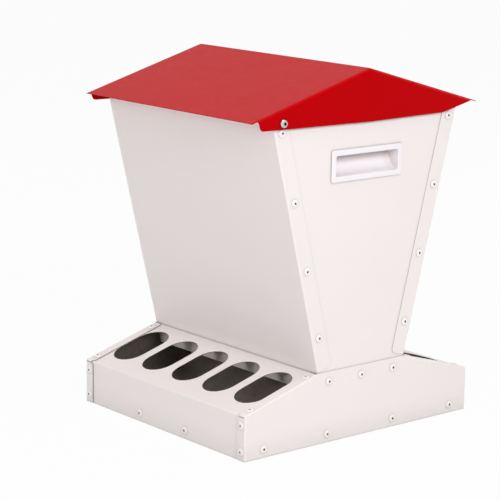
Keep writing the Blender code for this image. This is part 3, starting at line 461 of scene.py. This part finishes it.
def make_rivets():
    sheets_end = -RIVET_GRIP - FIT_GAP
    below = [(radius, sheets_end - depth) for radius, depth in RIVET_BULB]
    below.append((RIVET_SHANK_RADIUS, FIT_GAP))
    mesh = rivet_mesh("rivet", below, FIT_GAP, RIVET_HOLE)
    for name in sorted(nodes):
        if not name.startswith("rivet"):
            continue
        low, high = (Vector(corner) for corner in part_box(name))
        middle = (low + high) / 2
        if name.startswith(("rivet_pan_front", "rivet_pan_rear")):
            outward = Vector((0, math.copysign(1, middle.y), 0))
            face = BASE_DEPTH / 2 - SHEET - FIT_GAP
            point = Vector((middle.x, outward.y * face, middle.z))
        else:
            outward = Vector((math.copysign(1, middle.x), 0, 0))
            point = Vector((outward.x * BASE_WIDTH / 2, middle.y, middle.z))
        piece = add_object(f"{name}_detail", mesh)
        piece.matrix_world = placement(point, outward)
        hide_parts(name)
        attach(piece, "feeder")


def flange_rivet_seats(side, end):
    """Where the rivets of a base side's flanges sit at one end: point, outward way, level way."""
    x = side * (BASE_WIDTH / 2 - SIDE_FLANGE / 2)
    seats = [((x, end * BASE_DEPTH / 2, height), (0, end, 0), (0, 0, 1)) for height in FLANGE_RIVET_HEIGHTS]
    for distance in FLANGE_RIVET_DISTANCES:
        y = end * (BASE_DEPTH / 2 - distance * math.cos(BASE_SLOPE))
        z = BASE_WALL_HEIGHT + distance * math.sin(BASE_SLOPE)
        seats.append(((x, y, z), slope_normal(end), (0, 1, 0)))
    return seats


def make_flange_rivet_heads():
    """Round heads over the rivets that the base sides carry as part of their own solid."""
    mesh = rivet_mesh("flange_rivet", [(0, FLANGE_RIVET_SEAT)], FLANGE_RIVET_SEAT, FLANGE_RIVET_HOLE)
    for side, side_name in ((1, "right"), (-1, "left")):
        for end, end_name in ((-1, "front"), (1, "rear")):
            for number, (point, outward, level) in enumerate(flange_rivet_seats(side, end), 1):
                piece = add_object(f"flange_rivet_{side_name}_{end_name}_{number}", mesh)
                piece.matrix_world = placement(point, outward, level)
                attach(piece, "feeder")


def arc_corner(before, corner, after, radius, steps):
    """A corner of an outline, turned into an arc."""
    back, ahead = (before - corner).normalized(), (after - corner).normalized()
    half = back.angle(ahead) / 2
    centre = corner + (back + ahead).normalized() * radius / math.sin(half)
    start = corner + back * radius / math.tan(half) - centre
    end = corner + ahead * radius / math.tan(half) - centre
    turn = math.atan2(start.x * end.y - start.y * end.x, start.dot(end))
    first = math.atan2(start.y, start.x)
    angles = [first + turn * step / steps for step in range(steps + 1)]
    return [centre + radius * Vector((math.cos(a), math.sin(a))) for a in angles]


def scoop_outline(wall, front):
    """Outline in (x, z) of the finger scoop, or of the body that lies a wall's thickness round it."""
    low = HANDLE_CENTRE_HEIGHT - HANDLE_MOUTH_HEIGHT / 2
    high = low + HANDLE_MOUTH_HEIGHT
    back = Vector((HANDLE_FACE - HANDLE_DEPTH, high))
    foot = Vector((HANDLE_FACE - HANDLE_FLOOR, low))
    down = (foot - back).normalized()
    lean = down.x / -down.y
    shift = wall / -down.y
    back.x -= shift + wall * lean
    foot.x -= shift - wall * lean
    back.y += wall
    foot.y -= wall
    mouth_low, mouth_high = Vector((front, foot.y)), Vector((front, back.y))
    outline = [mouth_low, mouth_high]
    outline += arc_corner(mouth_high, back, foot, SCOOP_TOP_ROUND + wall, SCOOP_TOP_STEPS)
    outline += arc_corner(back, foot, mouth_low, SCOOP_FOOT_ROUND + wall, SCOOP_FOOT_STEPS)
    return outline


def heights_at(outline, x, close=1e-6):
    """The lowest and the highest point of a closed outline at one x."""
    heights = []
    for a, b in zip(outline, outline[1:] + outline[:1]):
        if not min(a.x, b.x) - close <= x <= max(a.x, b.x) + close:
            continue
        if abs(a.x - b.x) < close:
            heights += [a.y, b.y]
        else:
            heights.append(a.y + (b.y - a.y) * (x - a.x) / (b.x - a.x))
    return min(heights), max(heights)


def scoop_stations(wall, front):
    """(x, low z, high z) of the scoop or of its body, from a front face inward."""
    outline = scoop_outline(wall, front)
    deepest = min(point.x for point in outline)
    inner_limit = deepest + SCOOP_END_BAND
    stations = sorted({round(point.x, 6) for point in outline if point.x > inner_limit}, reverse=True)
    stations.append(deepest + SCOOP_END_STEP)
    return [(x, *heights_at(outline, x)) for x in stations]


def slab_ring(x, half_length, low, high, radius):
    """A rounded rectangle square to X."""
    radius = min(radius, (high - low) * SLAB_CORNER_LIMIT)
    y, z = half_length - radius, radius
    corners = ((y, low + z, -90), (y, high - z, 0), (-y, high - z, 90), (-y, low + z, 180))
    ring = []
    for centre_y, centre_z, first in corners:
        for step in range(SLAB_CORNER_STEPS + 1):
            angle = math.radians(first + 90 * step / SLAB_CORNER_STEPS)
            ring.append((x, centre_y + radius * math.cos(angle), centre_z + radius * math.sin(angle)))
    return ring


def centred_ring(x, length, height, grow, corner):
    """A ring about the handle's middle, grown by the same distance on every side."""
    low = HANDLE_CENTRE_HEIGHT - height / 2 - grow
    high = HANDLE_CENTRE_HEIGHT + height / 2 + grow
    return slab_ring(x, length / 2 + grow, low, high, corner + grow)


def rim_ring(x, inset):
    return centred_ring(x, HANDLE_LENGTH, HANDLE_HEIGHT, -inset, RIM_CORNER)


def mouth_ring(x, out):
    return centred_ring(x, HANDLE_MOUTH_LENGTH, HANDLE_MOUTH_HEIGHT, out, MOUTH_CORNER)


def handle_rings():
    """Rings of the whole pull: up the outside of its body, round its rim and down into the scoop."""
    back = HANDLE_FACE + FIT_GAP
    front = back + HANDLE_RIM
    half_mouth = HANDLE_MOUTH_LENGTH / 2
    rings = []
    for x, low, high in reversed(scoop_stations(HANDLE_WALL, back)):
        rings.append(slab_ring(x, half_mouth + HANDLE_WALL, low, high, BODY_CORNER))
    for distance, inset in RIM_REAR:
        rings.append(rim_ring(back + distance, inset))
    for angle in quarter_turn(RIM_STEPS):
        x = front - RIM_ROUND * (1 - math.sin(angle))
        rings.append(rim_ring(x, RIM_ROUND * (1 - math.cos(angle))))
    for angle in quarter_turn(MOUTH_STEPS):
        x = front - MOUTH_ROUND * (1 - math.cos(angle))
        rings.append(mouth_ring(x, MOUTH_ROUND * (1 - math.sin(angle))))
    for x, low, high in scoop_stations(0.0, front - SCOOP_START):
        rings.append(slab_ring(x, half_mouth, low, high, MOUTH_CORNER))
    return rings


def make_handles():
    shape = bmesh.new()
    layers = [[shape.verts.new(point) for point in ring] for ring in handle_rings()]
    count = len(layers[0])
    for lower, upper in zip(layers, layers[1:]):
        for i in range(count):
            j = (i + 1) % count
            shape.faces.new((lower[i], lower[j], upper[j], upper[i]))
    shape.faces.new(layers[0][::-1])
    shape.faces.new(layers[-1])
    mesh = smooth_mesh(shape, "handle", (PLASTIC,), HANDLE_SHARP_ANGLE)
    for side_name, turn in (("right", 0.0), ("left", math.pi)):
        piece = add_object(f"handle_{side_name}_detail", mesh)
        piece.rotation_euler.z = turn
        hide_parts(f"handle_{side_name}")
        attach(piece, "feeder")


def make_camera():
    data = bpy.data.cameras.new("camera")
    data.lens = CAMERA_LENS
    data.sensor_width = CAMERA_SENSOR
    data.clip_end = CAMERA_REACH
    camera = add_object("camera", data)
    turn = Matrix((CAMERA_RIGHT, CAMERA_UP, CAMERA_RIGHT.cross(CAMERA_UP))).transposed().to_4x4()
    camera.matrix_world = Matrix.Translation(CAMERA_PLACE) @ turn
    bpy.context.scene.camera = camera


def make_lights():
    for name, place, size, watts in LAMPS:
        data = bpy.data.lights.new(name, "AREA")
        data.shape = "RECTANGLE"
        data.size, data.size_y = size
        data.energy = watts
        lamp = add_object(name, data)
        lamp.location = place
        lamp.rotation_euler = (FEEDER_MIDDLE - Vector(place)).to_track_quat("-Z", "Y").to_euler()


def math_node(tree, operation):
    node = tree.nodes.new("ShaderNodeMath")
    node.operation = operation
    return node


def ray_test(tree, *kinds):
    """1 for the kinds of ray that are named, and 0 for the others."""
    paths = tree.nodes.new("ShaderNodeLightPath")
    result = paths.outputs[kinds[0]]
    for kind in kinds[1:]:
        either = math_node(tree, "MAXIMUM")
        tree.links.new(result, either.inputs[0])
        tree.links.new(paths.outputs[kind], either.inputs[1])
        result = either.outputs[0]
    return result


def mix_to_surface(tree, share, shader, other, output):
    """Mixes a shader with another one by a share, and gives the result to the output node."""
    mix = tree.nodes.new("ShaderNodeMixShader")
    tree.links.new(share, mix.inputs["Fac"])
    tree.links.new(shader.outputs[0], mix.inputs[1])
    tree.links.new(other.outputs[0], mix.inputs[2])
    tree.links.new(mix.outputs[0], tree.nodes[output].inputs["Surface"])


def make_world():
    """A weak, slightly warm fill light, which is seen and mirrored as plain white."""
    world = bpy.data.worlds.new("world")
    bpy.context.scene.world = world
    world.use_nodes = True
    tree = world.node_tree
    fill = tree.nodes["Background"]
    fill.inputs["Color"].default_value = (*WORLD_COLOUR, 1.0)
    fill.inputs["Strength"].default_value = WORLD_STRENGTH
    white = tree.nodes.new("ShaderNodeBackground")
    white.inputs["Color"].default_value = (1.0, 1.0, 1.0, 1.0)
    white.inputs["Strength"].default_value = 1.0
    seen = ray_test(tree, "Is Camera Ray", "Is Transmission Ray", "Is Glossy Ray")
    mix_to_surface(tree, seen, fill, white, "World Output")


def make_floor():
    """A light grey floor, which is seen and mirrored almost as plain white."""
    shape = bmesh.new()
    bmesh.ops.create_grid(shape, x_segments=8, y_segments=8, size=FLOOR_HALF_SIZE)
    mesh = bpy.data.meshes.new("floor")
    shape.to_mesh(mesh)
    shape.free()
    floor = add_object("floor", mesh)
    floor.location.z = -FLOOR_DROP
    material, tree, shader = new_material("floor")
    shader.inputs["Base Color"].default_value = (FLOOR_GREY, FLOOR_GREY, FLOOR_GREY, 1.0)
    shader.inputs["Roughness"].default_value = FLOOR_ROUGHNESS
    glow = tree.nodes.new("ShaderNodeEmission")
    glow.inputs["Color"].default_value = (1.0, 1.0, 1.0, 1.0)
    share = math_node(tree, "MULTIPLY")
    share.inputs[1].default_value = FLOOR_GLOW_SHARE
    tree.links.new(ray_test(tree, "Is Camera Ray", "Is Glossy Ray"), share.inputs[0])
    mix_to_surface(tree, share.outputs[0], shader, glow, "Material Output")
    mesh.materials.append(material)


finish_cad_nodes()
make_rivets()
make_flange_rivet_heads()
make_handles()
make_camera()
make_lights()
make_world()
make_floor()
bpy.context.scene.view_settings.view_transform = "Standard"
